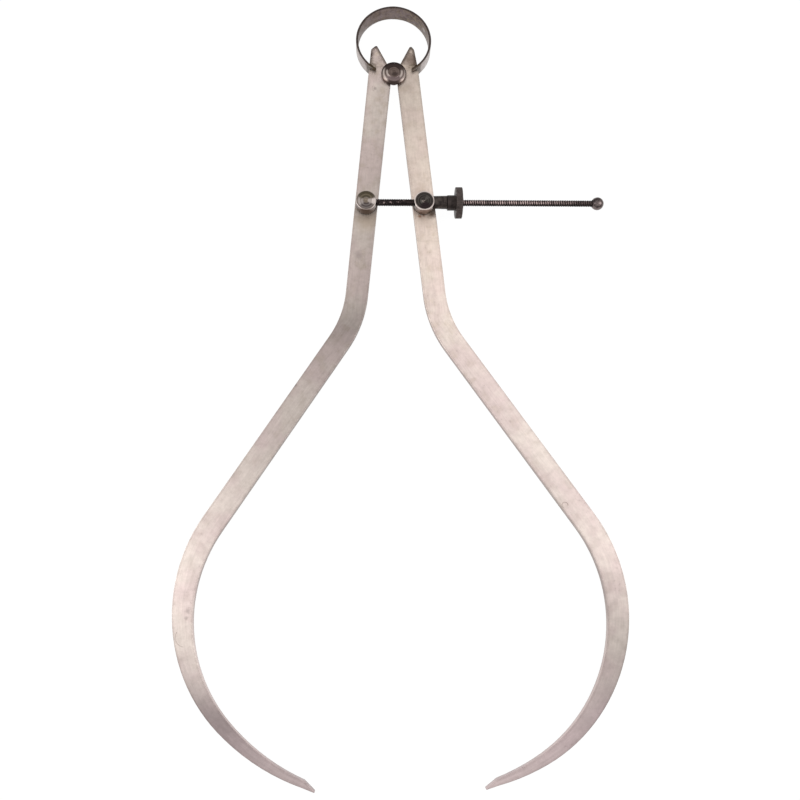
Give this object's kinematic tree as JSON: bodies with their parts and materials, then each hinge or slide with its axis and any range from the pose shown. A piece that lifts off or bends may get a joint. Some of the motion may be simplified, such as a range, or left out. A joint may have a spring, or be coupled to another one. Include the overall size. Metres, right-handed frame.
{
  "type": "outside spring caliper",
  "caption": "Outside spring caliper with bowed flat legs, ring-shaped bow spring, domed fulcrum stud and knurled adjusting nut on a ball-ended screw.",
  "frame": {"origin": "middle of the footprint at rest, in the plane of the bow spring's rear edge and the posts' riveted ends, on which the caliper lies", "axes": "+Y from the points to the bow spring, +X from the left leg to the screw's ball, +Z out of the front, on which the adjusting screw runs"},
  "size_m": [0.1822, 0.3382, 0.0153],
  "materials": {
    "left_leg": "ground tool steel, dulled and stained by handling",
    "right_leg": "ground tool steel, dulled and stained by handling",
    "bow_spring": "tempered spring steel, browned",
    "fulcrum_stud": "turned and polished steel, darkened",
    "left_post": "turned steel",
    "left_post_washer": "turned steel",
    "right_post": "turned steel, darkened face",
    "right_post_washer": "turned steel",
    "adjusting_screw": "blackened steel",
    "screw_ball": "blackened steel, rubbed",
    "thrust_sleeve": "blackened steel",
    "adjusting_nut": "blackened steel, straight knurl"
  },
  "bodies": {
    "fulcrum": {"fulcrum_stud": "fulcrum_stud", "bow_spring": "bow_spring"},
    "left_leg": {"left_leg": "left_leg"},
    "right_leg": {"right_leg": "right_leg"},
    "left_post": {"left_post": "left_post", "left_post_washer": "left_post_washer", "adjusting_screw": "adjusting_screw", "screw_ball": "screw_ball"},
    "right_post": {"right_post": "right_post", "right_post_washer": "right_post_washer", "thrust_sleeve": "thrust_sleeve"},
    "nut": {"adjusting_nut": "adjusting_nut"}
  },
  "joints": [
    {"name": "left_leg_hinge", "type": "hinge", "parent": "fulcrum", "child": "left_leg", "pos_m": [-0.00152, 0.13547, 0.0041], "axis": [0, 0, -1], "range_deg": [-5.9, 24], "deforming": ["bow_spring"]},
    {"name": "right_leg_hinge", "type": "hinge", "parent": "fulcrum", "child": "right_leg", "pos_m": [-0.00152, 0.13547, 0.0041], "axis": [0, 0, 1], "range_deg": [-5.9, 24], "deforming": ["bow_spring"]},
    {"name": "left_post_swivel", "type": "hinge", "parent": "left_leg", "child": "left_post", "pos_m": [-0.01421, 0.07138, 0.0041], "axis": [0, 0, 1], "range_deg": [-5.9, 24]},
    {"name": "right_post_swivel", "type": "hinge", "parent": "right_leg", "child": "right_post", "pos_m": [0.01117, 0.07138, 0.0041], "axis": [0, 0, -1], "range_deg": [-5.9, 24]},
    {"name": "nut_spin", "type": "hinge", "parent": "right_post", "child": "nut", "pos_m": [0.02398, 0.07138, 0.00855], "axis": [1, 0, 0], "range_deg": [-4513.5, 18360]}
  ],
  "couplings": [
    {"joint": "right_leg_hinge", "follows": "left_leg_hinge", "ratio": 1},
    {"joint": "left_post_swivel", "follows": "left_leg_hinge", "ratio": 1},
    {"joint": "right_post_swivel", "follows": "left_leg_hinge", "ratio": 1},
    {"joint": "nut_spin", "follows": "left_leg_hinge", "ratio": 765}
  ]
}
